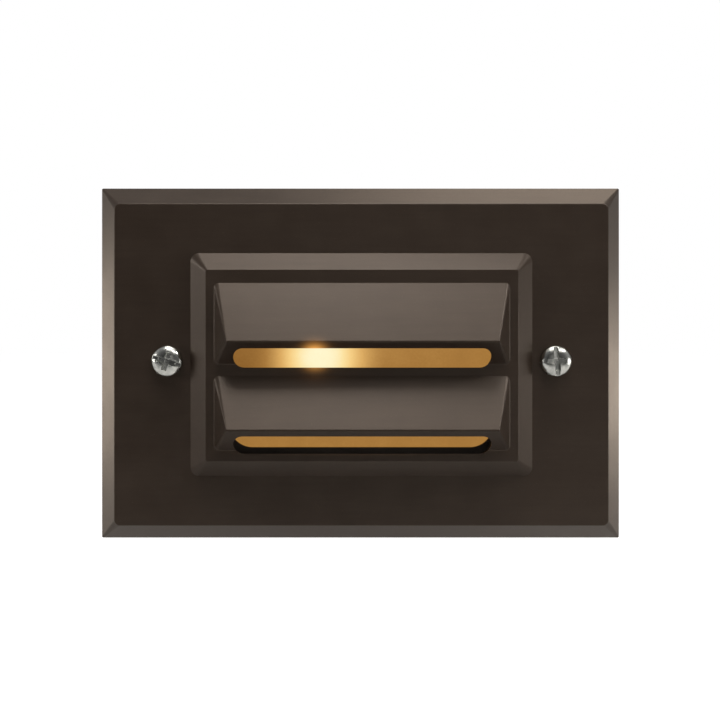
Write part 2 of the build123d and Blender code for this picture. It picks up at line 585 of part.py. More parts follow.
def reflector():
    """Bent polished sheet: a back panel with wings above, below and to the right."""
    rear = REFLECTOR_BACK - REFLECTOR_THICK
    wing_slope = REFLECTOR_FLARE_Z / (REFLECTOR_FRONT - REFLECTOR_BACK)
    tray = reflector_cone(REFLECTOR_THICK * math.hypot(1, wing_slope), rear)
    tray -= reflector_cone(0, REFLECTOR_BACK)
    right_part = Pos(REFLECTOR_LEFT + BOX_INNER_WIDTH / 2, 0) * Rectangle(BOX_INNER_WIDTH, BOX_INNER_HEIGHT)
    tray = tray & slab(right_part, rear, REFLECTOR_FRONT)
    for x in REFLECTOR_SCREWS:
        tray -= rod(x, 0, MEDIUM_HOLE, rear, REFLECTOR_BACK)
    return tray


def reflector_screws():
    return join(screw(x, 0, REFLECTOR_BACK, MEDIUM_SCREW, MEDIUM_SCREW_LENGTH) for x in REFLECTOR_SCREWS)


def across_lamp(x):
    """Plane square to the lamp at that x: local x is Y and local y is Z, from the lamp's axis."""
    return Plane(origin=(x, -LAMP_STAND, LAMP_Z), x_dir=(0, 1, 0), z_dir=(1, 0, 0))


def bar_along_lamp(width, height, corner, start, end):
    """Rounded bar along the lamp's axis: width is along Y, height along Z."""
    return extrude(across_lamp(start) * RectangleRounded(width, height, corner), amount=end - start)


def socket_bracket():
    """Bent sheet angle: an upright tab round the socket, and a foot on two posts."""
    rear = BRACKET_STAND - BRACKET_THICK
    front = LAMP_STAND + SOCKET_WIDTH / 2 + BRACKET_RIM_FRONT
    tab_outline = Rectangle(BRACKET_THICK, SOCKET_HEIGHT + 2 * BRACKET_RIM_Z)
    bracket = slab(Pos(BRACKET_TAB_X + BRACKET_THICK / 2, LAMP_Z) * tab_outline, rear, front)
    reach = BRACKET_SCREW_INSET + BRACKET_EDGE
    foot_outline = Rectangle(reach, BRACKET_SCREW_SPREAD + 2 * BRACKET_EDGE)
    bracket += slab(Pos(BRACKET_TAB_X + reach / 2, 0) * foot_outline, rear, BRACKET_STAND)
    hole_width = SOCKET_WIDTH + 2 * THREAD_CLEAR
    hole_height = SOCKET_HEIGHT + 2 * THREAD_CLEAR
    tab_end = BRACKET_TAB_X + BRACKET_THICK
    bracket -= bar_along_lamp(hole_width, hole_height, SOCKET_CORNER, BRACKET_TAB_X, tab_end)
    for z in both_sides(BRACKET_SCREW_SPREAD / 2):
        bracket -= rod(BRACKET_SCREW_X, z, MEDIUM_HOLE, rear, BRACKET_STAND)
    return bracket


def bracket_screws():
    return join(
        screw(BRACKET_SCREW_X, z, BRACKET_STAND, MEDIUM_SCREW, MEDIUM_SCREW_LENGTH)
        for z in both_sides(BRACKET_SCREW_SPREAD / 2)
    )


def socket_contact(side):
    """Bronze strip bowed towards the wedge, above it (+1) or below (-1), with a tail to the rear."""
    line_z = LAMP_Z + side * CONTACT_LINE
    bump_z = LAMP_Z + side * CONTACT_BUMP
    middle = Polyline(
        (CONTACT_TAIL_X, line_z),
        (WEDGE_END, line_z),
        (WEDGE_END + CONTACT_BUMP_X, bump_z),
        (SOCKET_MOUTH - 2 * END_CLEAR, line_z),
    )
    half = CONTACT_WIDTH / 2
    strip = slab(trace(middle, CONTACT_THICK), LAMP_STAND - half, LAMP_STAND + half)
    tail_outline = Pos(CONTACT_TAIL_X, line_z) * Rectangle(CONTACT_TAIL_WIDTH, CONTACT_THICK)
    return strip + slab(tail_outline, LAMP_STAND - half - CONTACT_TAIL, LAMP_STAND + half)


def lamp_socket():
    """Ceramic wedge socket: a collar behind the bracket, a cavity for the wedge."""
    body = bar_along_lamp(SOCKET_WIDTH, SOCKET_HEIGHT, SOCKET_CORNER, SOCKET_REAR, SOCKET_MOUTH)
    collar_width = SOCKET_WIDTH + 2 * SOCKET_COLLAR
    collar_height = SOCKET_HEIGHT + 2 * SOCKET_COLLAR
    body += bar_along_lamp(collar_width, collar_height, SOCKET_CORNER, SOCKET_REAR, BRACKET_TAB_X)
    body -= bar_along_lamp(
        SOCKET_CAVITY_WIDTH, SOCKET_CAVITY_HEIGHT, WEDGE_CLEAR, SOCKET_FLOOR, SOCKET_MOUTH
    )
    for side in (1, -1):
        body -= socket_contact(side)
    return body


def lamp_profile(wall, neck_end):
    """Half outline of the bulb, inset by a wall: a domed tube that narrows to its neck."""
    radius = LAMP_RADIUS - wall
    neck = NECK_RADIUS - wall
    dome = LAMP_TIP - LAMP_RADIUS
    start = NECK_START + neck_end
    shoulder = start + NECK_LENGTH
    quarter = radius * math.sqrt(0.5)
    swell = ((start + shoulder) / 2, (neck + radius) / 2 + SHOULDER_BULGE)
    return make_face(
        [
            Line((start, 0), (start, neck)),
            ThreePointArc((start, neck), swell, (shoulder, radius)),
            Line((shoulder, radius), (dome, radius)),
            ThreePointArc((dome, radius), (dome + quarter, quarter), (dome + radius, 0)),
            Line((dome + radius, 0), (start, 0)),
        ]
    )


def lamp_bulb(leads):
    """Hollow glass tube with its pinched wedge, and channels that the wires fill."""
    spin = Plane(origin=(0, -LAMP_STAND, LAMP_Z), x_dir=(1, 0, 0), z_dir=(0, -1, 0))
    lamp_axis = Axis((0, -LAMP_STAND, LAMP_Z), (1, 0, 0))
    glass = revolve(spin * lamp_profile(0, 0), lamp_axis)
    glass += bar_along_lamp(WEDGE_WIDTH, WEDGE_THICK, WEDGE_CORNER, WEDGE_END, NECK_START + NECK_GLASS)
    glass -= revolve(spin * lamp_profile(LAMP_GLASS, NECK_GLASS), lamp_axis)
    return glass - leads


def lamp_filament():
    """Coil between its two wires, drawn as the bar that it fills."""
    half = FILAMENT_LENGTH / 2
    return rod(LAMP_X, LAMP_Z, FILAMENT_RADIUS, LAMP_STAND - half, LAMP_STAND + half)


def lamp_wire(side, filament):
    """Wire from one end of the filament, through the wedge, folded back on its outside."""
    y_filament = -LAMP_STAND - side * (FILAMENT_LENGTH / 2 - LEAD_WIRE)
    y_wedge = -LAMP_STAND - side * LEAD_WIRE_OFFSET
    z_fold = LAMP_Z + side * (WEDGE_THICK / 2 + LEAD_WIRE)
    fold_x = WEDGE_END - LEAD_WIRE
    route = Polyline(
        (LAMP_X, y_filament, LAMP_Z),
        (NECK_START + NECK_LENGTH / 2, y_wedge, LAMP_Z),
        (fold_x, y_wedge, LAMP_Z),
        (fold_x, y_wedge, z_fold),
        (WEDGE_END + LEAD_WIRE_BACK, y_wedge, z_fold),
    )
    section = Plane(origin=route @ 0, z_dir=route % 0) * RegularPolygon(LEAD_WIRE, LEAD_WIRE_SIDES)
    return sweep(section, path=route, transition=Transition.RIGHT) - filament


def pole_heights():
    """Heights of the two poles, lower then upper."""
    return (BLOCK_Z - POLE_REACH, BLOCK_Z + POLE_REACH)


def pole_screw_places(z):
    return [(BLOCK_X + dx, z) for dx in both_sides(POLE_SCREW_OFFSET)]


def through_block(z, radius):
    """Round bar along X through the terminal block at a pole."""
    plane = Plane(origin=(BLOCK_LEFT, -POLE_STAND, z), z_dir=(1, 0, 0))
    return extrude(plane * Circle(radius), amount=BLOCK_WIDTH)


def terminal_block():
    """Two-pole block: a sleeve bore along X for each pole and screw wells from the front."""
    outline = rounded(BLOCK_WIDTH, BLOCK_HEIGHT, BLOCK_CORNER, BLOCK_X, BLOCK_Z)
    block = slab(outline, BLOCK_BACK, BLOCK_FRONT)
    for pole_z in pole_heights():
        block -= through_block(pole_z, SLEEVE_RADIUS)
        for x, z in pole_screw_places(pole_z):
            block -= rod(x, z, SMALL_HEAD_RADIUS + SCREW_HOLE_CLEAR, POLE_STAND, BLOCK_FRONT)
    return block - rod(BLOCK_X, BLOCK_Z, MEDIUM_HOLE, BLOCK_BACK, BLOCK_FRONT)


def terminal_sleeves():
    """Brass sleeves that take the wires, tapped for the terminal screws."""
    sleeves = []
    for pole_z in pole_heights():
        sleeve = through_block(pole_z, SLEEVE_RADIUS) - through_block(pole_z, SLEEVE_BORE)
        for x, z in pole_screw_places(pole_z):
            sleeve -= rod(x, z, SMALL_TAPPED, POLE_STAND, BLOCK_FRONT)
        sleeves.append(sleeve)
    return join(sleeves)


def terminal_screws():
    seat = BLOCK_FRONT - POLE_SCREW_SINK - SMALL_HEAD_RISE
    length = seat - POLE_STAND - LEAD_RADIUS - LEAD_CLEAR
    return join(
        screw(x, z, seat, SMALL_SCREW, length)
        for pole_z in pole_heights()
        for x, z in pole_screw_places(pole_z)
    )


def terminal_block_screw():
    length = BLOCK_DEPTH + BLOCK_STAND_OFF - TIP_CLEAR
    return screw(BLOCK_X, BLOCK_Z, BLOCK_FRONT, MEDIUM_SCREW, length)


def lead(side, bends, pole_z):
    """Insulated lead from a contact's tail to a pole, and its arcs as large as its runs allow."""
    start_y = -LAMP_STAND + CONTACT_WIDTH / 2 + CONTACT_TAIL
    start = Vector(CONTACT_TAIL_X, start_y, LAMP_Z + side * CONTACT_LINE)
    end = Vector(BLOCK_LEFT + POLE_SCREW_OFFSET, -POLE_STAND, pole_z)
    points = [start] + [start + Vector(*step) for step in bends]
    points += [end - Vector(LEAD_LAST_RUN, 0, 0), end]
    runs = [after - before for before, after in zip(points, points[1:])]
    radii = []
    for before, after in zip(runs, runs[1:]):
        half_turn = math.radians(before.get_angle(after)) / 2
        radii.append(BEND_SHARE * min(before.length, after.length) / math.tan(half_turn))
    route = FilletPolyline(*points, radius=radii)
    section = Plane(origin=route @ 0, z_dir=route % 0) * Circle(LEAD_RADIUS)
    tube = sweep(section, path=route)
    straight_volume = math.pi * LEAD_RADIUS**2 * route.length
    print("lead radii", [round(r, 1) for r in radii], "volume share", round(tube.volume / straight_volume, 4))
    return tube


def hexagon():
    """Outline of the gland and its nuts, by the width across their flats."""
    return Pos(GLAND_X, GLAND_Z) * RegularPolygon(GLAND_FLATS / 2, 6, major_radius=False)


def gland_rod(radius, rear, front):
    return rod(GLAND_X, GLAND_Z, radius, rear, front)


def cable_gland_body():
    """Threaded gland through the rear wall, with its hexagon flange outside."""
    body = slab(hexagon(), GLAND_HEX_REAR, -BOX_DEPTH)
    body += gland_rod(GLAND_RADIUS, GLAND_REAR, GLAND_FRONT)
    return body - gland_rod(GLAND_BORE, GLAND_REAR, GLAND_FRONT)


def cable_gland_seal():
    """Rubber bush squeezed round the cable."""
    return gland_rod(GLAND_BORE, GLAND_REAR, -BOX_DEPTH) - gland_rod(CABLE_BORE, GLAND_REAR, -BOX_DEPTH)


def cable_gland_nut():
    """Clamping nut with a tapered end."""
    taper_front = NUT_FRONT - NUT_HEX_LENGTH
    mouth = Pos(GLAND_X, GLAND_Z) * Circle(NUT_DOME)
    shoulder = Pos(GLAND_X, GLAND_Z) * Circle(GLAND_FLATS / 2)
    nut = slab(hexagon(), taper_front, NUT_FRONT)
    nut += flare(mouth, NUT_REAR, shoulder, taper_front)
    nut -= gland_rod(GLAND_RADIUS + GLAND_CLEAR, GLAND_REAR - NUT_GAP, NUT_FRONT)
    return nut - gland_rod(NUT_MOUTH, NUT_REAR, NUT_FRONT)


def cable_gland_locknut():
    front = BOX_FLOOR + LOCKNUT_THICK
    return slab(hexagon(), BOX_FLOOR, front) - gland_rod(GLAND_RADIUS + GLAND_CLEAR, BOX_FLOOR, front)


def main():
    filament = lamp_filament()
    wires = [lamp_wire(side, filament) for side in (1, -1)]
    lower_pole, upper_pole = pole_heights()
    nodes = {
        "face_plate": face_plate(),
        "lens": lens(),
        "lens_gasket": lens_gasket(),
        "lens_retainer": lens_retainer(),
        "lens_retainer_screws": lens_retainer_screws(),
        "face_gasket": face_gasket(),
        "face_screw_left": face_screw(-FACE_SCREW_X, FACE_SCREW_TURN_LEFT),
        "face_screw_right": face_screw(FACE_SCREW_X, FACE_SCREW_TURN_RIGHT),
        "rear_housing": rear_housing(),
        "reflector": reflector(),
        "reflector_screws": reflector_screws(),
        "socket_bracket": socket_bracket(),
        "bracket_screws": bracket_screws(),
        "lamp_socket": lamp_socket(),
        "socket_contact_upper": socket_contact(1),
        "socket_contact_lower": socket_contact(-1),
        "lamp_bulb": lamp_bulb(wires),
        "lamp_leads": join(wires),
        "lamp_filament": filament,
        "terminal_block": terminal_block(),
        "terminal_sleeves": terminal_sleeves(),
        "terminal_screws": terminal_screws(),
        "terminal_block_screw": terminal_block_screw(),
        "lead_upper": lead(1, UPPER_BENDS, upper_pole),
        "lead_lower": lead(-1, LOWER_BENDS, lower_pole),
        "cable_gland_body": cable_gland_body(),
        "cable_gland_seal": cable_gland_seal(),
        "cable_gland_nut": cable_gland_nut(),
        "cable_gland_locknut": cable_gland_locknut(),
    }
    os.makedirs("parts", exist_ok=True)
    for name, piece in nodes.items():
        export_step(piece, f"parts/{name}.step")


main()
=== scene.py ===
import json
import math

import bpy
import numpy as np
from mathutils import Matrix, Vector


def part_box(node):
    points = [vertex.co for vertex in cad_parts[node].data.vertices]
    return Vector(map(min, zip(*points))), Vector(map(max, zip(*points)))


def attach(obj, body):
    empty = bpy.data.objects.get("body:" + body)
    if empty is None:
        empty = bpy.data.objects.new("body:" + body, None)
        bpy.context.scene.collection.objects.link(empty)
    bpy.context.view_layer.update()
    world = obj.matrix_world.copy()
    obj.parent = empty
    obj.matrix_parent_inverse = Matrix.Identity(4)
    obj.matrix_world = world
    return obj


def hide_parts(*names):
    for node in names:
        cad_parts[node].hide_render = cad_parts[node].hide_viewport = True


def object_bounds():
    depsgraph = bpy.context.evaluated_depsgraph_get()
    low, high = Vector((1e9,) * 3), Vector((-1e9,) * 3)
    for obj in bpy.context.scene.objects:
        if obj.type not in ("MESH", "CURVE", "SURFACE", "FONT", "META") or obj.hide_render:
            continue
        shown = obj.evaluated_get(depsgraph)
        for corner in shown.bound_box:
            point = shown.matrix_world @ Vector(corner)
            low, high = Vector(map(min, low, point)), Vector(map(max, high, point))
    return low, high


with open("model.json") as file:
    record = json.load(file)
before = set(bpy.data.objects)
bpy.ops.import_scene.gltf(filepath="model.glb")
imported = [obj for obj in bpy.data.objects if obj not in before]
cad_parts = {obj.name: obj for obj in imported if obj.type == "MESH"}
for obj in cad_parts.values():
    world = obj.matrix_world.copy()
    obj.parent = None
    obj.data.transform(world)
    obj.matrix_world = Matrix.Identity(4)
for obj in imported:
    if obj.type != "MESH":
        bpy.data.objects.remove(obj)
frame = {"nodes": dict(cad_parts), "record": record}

CAD_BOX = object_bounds()  # of the solids, before any detailed piece

# Louvred step light, dressed for a studio picture. Metres, +Z up, the light faces -Y.
MM = 0.001
TURN = 2 * math.pi

# Frame of the picture: 720 by 720 pixels, looking straight at the wall
PICTURE = 720
PLATE_CENTRE = (360.3, 362.8)  # in its pixels, across and down
METRES_PER_PIXEL = 0.22237 * MM  # on the wall plane
CAMERA_PLACE = (-7 * MM, -220 * MM, 12 * MM)
SENSOR = 36.0  # in millimetres
NEAR_CLIP = 10 * MM

# Places on the front, as (x, z)
PAINTED_HOT_SPOT = (-8.9 * MM, 1.7 * MM)  # lens, centre of the painted hot spot of glow in front of the filament
PAINTED_DIM_SPOT = (-27 * MM, 1.7 * MM)  # lens, at its left end, centre of painted shade in the painted glow
PAINTED_GLOW_SPOT = (-9.9 * MM, 2.1 * MM)  # upper slot's edges, centre of a painted glow that stands in for the lamp's light on them
PAINTED_LOW_GLOW_SPOT = (0, -18.2 * MM)  # lower slot's bottom wall, centre of a painted glow that stands in for the lamp's light on it

# Face screws: #6-32 pan heads with a slot and a cross
FACE_SEAT = -7.2 * MM  # plate's flat front, where the heads sit
FACE_HEAD_EDGE = 0.85 * MM  # straight side of a head
FACE_THREAD = 1.75 * MM
FACE_PITCH = 0.794 * MM
FACE_CROWN = 2.0  # power of the crown's curve: round
FACE_GRID = (192, 84, 8)  # points round a screw, rings on its head, rings for each turn of its thread
FACE_CREASE = 50  # in degrees: an edge that turns more than this stays sharp
LEFT_TURN = math.radians(-17)
RIGHT_TURN = math.radians(95)
SLOT_WIDTH = 0.9 * MM
SLOT_DEPTH = 0.95 * MM
CROSS_WIDTH = 1.05 * MM
CROSS_REACH = 2.0 * MM
CROSS_DEPTH = 1.5 * MM
CROSS_SLOPE = 0.1  # how much the cross gets shallower outwards, as rise over run
EDGE_SOFT = 0.1 * MM  # width of a recess's rounded edge

# Slotted cheese-head screws inside: radius of thread and head, rise of the head, pitch
M2_SCREW = (1.0 * MM, 1.9 * MM, 1.3 * MM, 0.4 * MM)
M3_SCREW = (1.5 * MM, 2.7 * MM, 1.8 * MM, 0.5 * MM)
CHEESE_EDGE = 0.8  # straight side, as a share of the rise
CHEESE_CROWN = 5.0  # power of the crown's curve: flat with a rounded edge
CHEESE_SLOT_WIDTH = 0.42  # as a share of the head's radius
CHEESE_SLOT_DEPTH = 0.45  # as a share of the rise
CHEESE_GRID = (48, 24, 6)
CHEESE_CREASE = 40
PAIR_SPAN = 3  # a box at least this many head radii across holds two screws

# All screws
RIM_CROWDING = 0.85  # power that brings a head's rings closer together towards its rim
THREAD_DEPTH = 0.55  # as a share of the pitch
TIP_TAPER = 0.6  # how far a tip narrows, as a share of the thread's depth

# Lamp's coiled wire
COIL_TURNS = 26
COIL_STEPS = 24  # for each turn
COIL_SIDES = 8
COIL_WIRE = 0.06 * MM
COIL_CREASE = 60

# Painted light on the coat: a glow that stands in for the lamp's light on the slots' edges
DARK = (0, 0, 0, 1)
PAINTED_AMBER_GLOW = (1.0, 0.435, 0.09, 1)

# Blender's own limits and numbers
METAL = 1.0  # Metallic of bare metal
NOISE_SPAN = (0.3, 0.7)  # between them lies nearly all of a noise pattern
MIX_FIRST, MIX_SECOND, MIX_RESULT = 6, 7, 2  # colour sockets of a Mix node


def linear(red, green, blue):
    """A colour given as it looks on a screen, 0 to 255, as light."""
    seen = np.array([red, green, blue]) / 255
    light = np.where(seen <= 0.04045, seen / 12.92, ((seen + 0.055) / 1.055) ** 2.4)
    return (*light.tolist(), 1.0)


# Materials


class Finish:
    """One material and short ways to add its nodes."""

    def __init__(self, name):
        self.material = bpy.data.materials.new(name)
        self.material.use_nodes = True
        self.nodes = self.material.node_tree.nodes
        self.links = self.material.node_tree.links
        self.shader = self.nodes["Principled BSDF"]
        self.output = self.nodes["Material Output"]
        self.place = self.nodes.new("ShaderNodeTexCoord").outputs["Object"]

    def set(self, **values):
        """Constant values on the shader's own sockets, spaces written as underscores."""
        for name, value in values.items():
            self.shader.inputs[name.replace("_", " ")].default_value = value

    def mapped(self, scale, shift=(0, 0, 0)):
        """Object coordinates times scale, plus shift."""
        mapping = self.nodes.new("ShaderNodeMapping")
        mapping.inputs["Scale"].default_value = scale
        mapping.inputs["Location"].default_value = shift
        self.links.new(self.place, mapping.inputs["Vector"])
        return mapping.outputs["Vector"]

    def noise(self, size, detail=3.0, place=None):
        """Cloudy pattern whose blobs are about size metres across."""
        node = self.nodes.new("ShaderNodeTexNoise")
        node.inputs["Scale"].default_value = 1 / size
        node.inputs["Detail"].default_value = detail
        self.links.new(place or self.place, node.inputs["Vector"])
        return node.outputs["Fac"]

    def cells(self, size):
        """Distance to the nearest of scattered points about size metres apart, as a share of size."""
        node = self.nodes.new("ShaderNodeTexVoronoi")
        node.inputs["Scale"].default_value = 1 / size
        self.links.new(self.place, node.inputs["Vector"])
        return node.outputs["Distance"]

    def range(self, value, low, high, to_low=0.0, to_high=1.0):
        """Stretches a value so that low to high becomes to_low to to_high, and holds it at those ends."""
        node = self.nodes.new("ShaderNodeMapRange")
        settings = {"From Min": low, "From Max": high, "To Min": to_low, "To Max": to_high}
        for name, number in settings.items():
            node.inputs[name].default_value = number
        self.links.new(value, node.inputs["Value"])
        return node.outputs["Result"]

    def math(self, kind, first, second):
        """One operation, such as ADD, on two values; each is a number or a socket."""
        node = self.nodes.new("ShaderNodeMath")
        node.operation = kind
        for socket, value in zip(node.inputs, (first, second)):
            if isinstance(value, (int, float)):
                socket.default_value = value
            else:
                self.links.new(value, socket)
        return node.outputs["Value"]

    def patch(self, centre, wide, tall, height, power=2.0):
        """Soft patch on the front, height times exp(-d^power).

        d is the length of (x/wide, z/tall) from the centre.
        """
        scale = (1 / wide, 0, 1 / tall)
        shift = (-centre[0] / wide, 0, -centre[1] / tall)
        reach = self.nodes.new("ShaderNodeVectorMath")
        reach.operation = "LENGTH"
        self.links.new(self.mapped(scale, shift), reach.inputs[0])
        steep = self.math("MULTIPLY", self.math("POWER", reach.outputs["Value"], power), -1.0)
        return self.math("MULTIPLY", self.math("POWER", math.e, steep), height)

    def blend(self, share, first, second):
        """Mix of two colours; each is a colour or a socket."""
        node = self.nodes.new("ShaderNodeMix")
        node.data_type = "RGBA"
        self.links.new(share, node.inputs["Factor"])
        for socket, value in zip((node.inputs[MIX_FIRST], node.inputs[MIX_SECOND]), (first, second)):
            if isinstance(value, tuple):
                socket.default_value = value
            else:
                self.links.new(value, socket)
        return node.outputs[MIX_RESULT]

    def ramp(self, value, steps):
        """Colours at rising positions along a value."""
        node = self.nodes.new("ShaderNodeValToRGB")
        elements = node.color_ramp.elements
        while len(elements) < len(steps):
            elements.new(1.0)
        for element, (position, colour) in zip(elements, steps):
            element.position = position
            element.color = colour
        self.links.new(value, node.inputs["Fac"])
        return node.outputs["Color"]

    def colour(self, socket):
        """The shader's colour comes from a socket."""
        self.links.new(socket, self.shader.inputs["Base Color"])

    def emission(self, socket):
        """The shader's glow comes from a socket."""
        self.links.new(socket, self.shader.inputs["Emission Color"])

    def roughness(self, socket):
        """The shader's roughness comes from a socket."""
        self.links.new(socket, self.shader.inputs["Roughness"])

    def bump(self, *layers):
        """Bump from (height, strength, depth in metres) layers, one over the other."""
        normal = None
        for height, strength, depth in layers:
            node = self.nodes.new("ShaderNodeBump")
            node.inputs["Strength"].default_value = strength
            node.inputs["Distance"].default_value = depth
            self.links.new(height, node.inputs["Height"])
            if normal is not None:
                self.links.new(normal, node.inputs["Normal"])
            normal = node.outputs["Normal"]
        self.links.new(normal, self.shader.inputs["Normal"])


def bronze_coat():
    """Dark bronze powder coat with a fine satin grain, and a painted amber glow on the slots' edges that
    stands in for the lamp's light.
    """
    finish = Finish("bronze_coat")
    finish.set(Metallic=0.35, Specular_IOR_Level=0.5, Emission_Strength=1.0)
    finish.set(Specular_Tint=(1.0, 0.94, 0.86, 1))
    cloud = finish.noise(7 * MM, detail=4.0)
    grain = finish.noise(0.4 * MM, detail=2.0)
    speckle = finish.cells(0.9 * MM)
    streak = finish.noise(0.9 * MM, place=finish.mapped((0.08, 1, 1)))
    deep = finish.blend(finish.range(cloud, *NOISE_SPAN), linear(54, 43, 35), linear(59, 48, 40))
    streaks = finish.range(streak, low=0.4, high=0.75, to_high=0.35)
    streaked = finish.blend(streaks, deep, linear(47, 37, 30))
    specks = finish.range(speckle, low=0, high=0.09, to_low=0.5, to_high=0)
    finish.colour(finish.blend(specks, streaked, linear(120, 104, 90)))
    sheen = finish.math("ADD", grain, cloud)
    finish.roughness(finish.range(sheen, low=0.7, high=1.3, to_low=0.35, to_high=0.41))
    finish.bump((grain, 0.2, 0.04 * MM), (streak, 0.1, 0.04 * MM))
    # Painted light: glow patches on the coat stand in for the lamp's light on the upper slot's edges and the
    # lower slot's bottom wall
    near = finish.patch(PAINTED_GLOW_SPOT, wide=2.1 * MM, tall=2.0 * MM, height=1.75)
    far = finish.patch(PAINTED_GLOW_SPOT, wide=8 * MM, tall=3.0 * MM, height=0.02)
    low = finish.patch(PAINTED_LOW_GLOW_SPOT, wide=25 * MM, tall=0.9 * MM, height=0.01, power=4.0)
    painted_glow = finish.math("ADD", finish.math("ADD", near, far), low)
    finish.emission(finish.blend(painted_glow, DARK, PAINTED_AMBER_GLOW))
    return finish.material


def zinc_plate():
    """Bright zinc plate, slightly clouded."""
    finish = Finish("zinc_plate")
    finish.set(Metallic=METAL)
    cloud = finish.noise(1.1 * MM, detail=4.0)
    fine = finish.noise(0.18 * MM, detail=2.0)
    share = finish.range(cloud, *NOISE_SPAN)
    finish.colour(finish.blend(share, linear(218, 218, 212), linear(170, 172, 168)))
    finish.roughness(finish.range(cloud, *NOISE_SPAN, to_low=0.14, to_high=0.28))
    finish.bump((fine, 0.12, 0.03 * MM), (cloud, 0.25, 0.1 * MM))
    return finish.material


def amber_lens():
    """Frosted amber glass with a painted glow that stands in for the lamp's light from behind, brightest in
    front of the filament, with painted shade at its left end.
    """
    finish = Finish("amber_lens")
    finish.set(Roughness=0.5, Emission_Strength=1.0, Specular_IOR_Level=0.2, Base_Color=linear(50, 32, 16))
    even = 0.14  # level of the painted glow away from the filament
    cloud = finish.range(finish.noise(6 * MM, detail=2.0), *NOISE_SPAN, to_low=-0.02, to_high=0.02)
    grain = finish.range(finish.noise(0.5 * MM, detail=2.0), *NOISE_SPAN, to_low=-0.012, to_high=0.012)
    # Painted light: the lens glows as no lamp does, with a painted hot spot before the filament and painted
    # shade at its left end
    hot = finish.patch(PAINTED_HOT_SPOT, wide=8.5 * MM, tall=9 * MM, height=0.86, power=2.6)
    painted_dim = finish.patch(PAINTED_DIM_SPOT, wide=10 * MM, tall=8 * MM, height=-0.12)
    lit = finish.math("ADD", finish.math("ADD", hot, painted_dim), finish.math("ADD", cloud, grain))
    level = finish.math("ADD", lit, even)
    steps = [
        (0.0, linear(134, 92, 41)),
        (even, linear(165, 119, 59)),
        (0.4, linear(219, 171, 98)),
        (0.62, linear(244, 204, 130)),
        (0.8, linear(252, 225, 160)),
        (1.0, linear(255, 247, 207)),
    ]
    finish.emission(finish.ramp(level, steps))
    finish.bump((finish.noise(0.3 * MM, detail=2.0), 0.3, 0.05 * MM))
    return finish.material


def plain(name, dark, light, rough, metallic=0.0, blob=3 * MM, fine=0.3 * MM, relief=0.15):
    """Quiet material of two near colours, with a cloudy sheen and a fine grain."""
    sheen = 0.06  # how far the roughness goes up and down
    finish = Finish(name)
    finish.set(Metallic=metallic)
    cloud = finish.noise(blob)
    grain = finish.noise(fine, detail=2.0)
    finish.colour(finish.blend(finish.range(cloud, *NOISE_SPAN), dark, light))
    finish.roughness(finish.range(cloud, *NOISE_SPAN, to_low=rough - sheen, to_high=rough + sheen))
    finish.bump((grain, relief, 0.05 * MM), (cloud, relief, 0.1 * MM))
    return finish.material


def clear_glass():
    """Clear glass with a faint waviness, as blown."""
    finish = Finish("clear_glass")
    finish.set(Transmission_Weight=1.0, IOR=1.5, Base_Color=linear(250, 250, 248))
    finish.roughness(finish.range(finish.noise(4 * MM), *NOISE_SPAN, to_low=0.02, to_high=0.06))
    finish.bump((finish.noise(5 * MM, detail=2.0), 0.08, 0.1 * MM))
    return finish.material


def glowing_wire():
    """Wire that glows warm white."""
    finish = Finish("glowing_wire")
    finish.set(Emission_Strength=6.0, Roughness=0.4)
    cloud = finish.range(finish.noise(1 * MM), *NOISE_SPAN)
    hot = finish.blend(cloud, linear(255, 214, 150), linear(255, 232, 186))
    finish.colour(hot)
    finish.emission(hot)
    return finish.material


MATERIALS = {
    "bronze_coat": bronze_coat(),
    "zinc_screws": zinc_plate(),
    "amber_lens": amber_lens(),
    "black_rubber": plain("black_rubber", linear(64, 57, 51), linear(76, 68, 61), 0.72, relief=0.3),
    "cast_housing": plain(
        "cast_housing",
        linear(150, 151, 152),
        linear(172, 172, 170),
        rough=0.5,
        metallic=0.75,
        blob=5 * MM,
        fine=0.5 * MM,
        relief=0.4,
    ),
    "zinc_sheet": plain("zinc_sheet", linear(160, 162, 164), linear(186, 187, 186), 0.34, METAL),
    "polished_sheet": plain(
        "polished_sheet", linear(226, 228, 230), linear(238, 239, 240), 0.12, METAL, blob=8 * MM
    ),
    "white_ceramic": plain("white_ceramic", linear(226, 222, 210), linear(238, 235, 226), 0.55),
    "bronze_springs": plain("bronze_springs", linear(196, 148, 84), linear(214, 170, 104), 0.3, METAL),
    "brass": plain("brass", linear(196, 160, 88), linear(216, 184, 112), 0.3, METAL),
    "clear_glass": clear_glass(),
    "lamp_wire": plain(
        "lamp_wire", linear(150, 146, 140), linear(176, 172, 166), 0.3, METAL, blob=1 * MM
    ),
    "glowing_wire": glowing_wire(),
    "natural_nylon": plain("natural_nylon", linear(214, 210, 194), linear(226, 222, 208), 0.5),
    "black_lead": plain("black_lead", linear(24, 24, 25), linear(38, 38, 38), 0.42),
    "white_lead": plain("white_lead", linear(212, 212, 208), linear(226, 226, 222), 0.42),
    "black_nylon": plain("black_nylon", linear(26, 26, 27), linear(42, 42, 42), 0.5, relief=0.25),
}


def dress(obj, slot_name):
    """Gives an object the one material of a slot."""
    obj.data.materials.clear()
    obj.data.materials.append(MATERIALS[slot_name])


for subpart in frame["record"]["subparts"]:
    dress(frame["nodes"][subpart["node"]], subpart["material_slot"])


# Detailed pieces


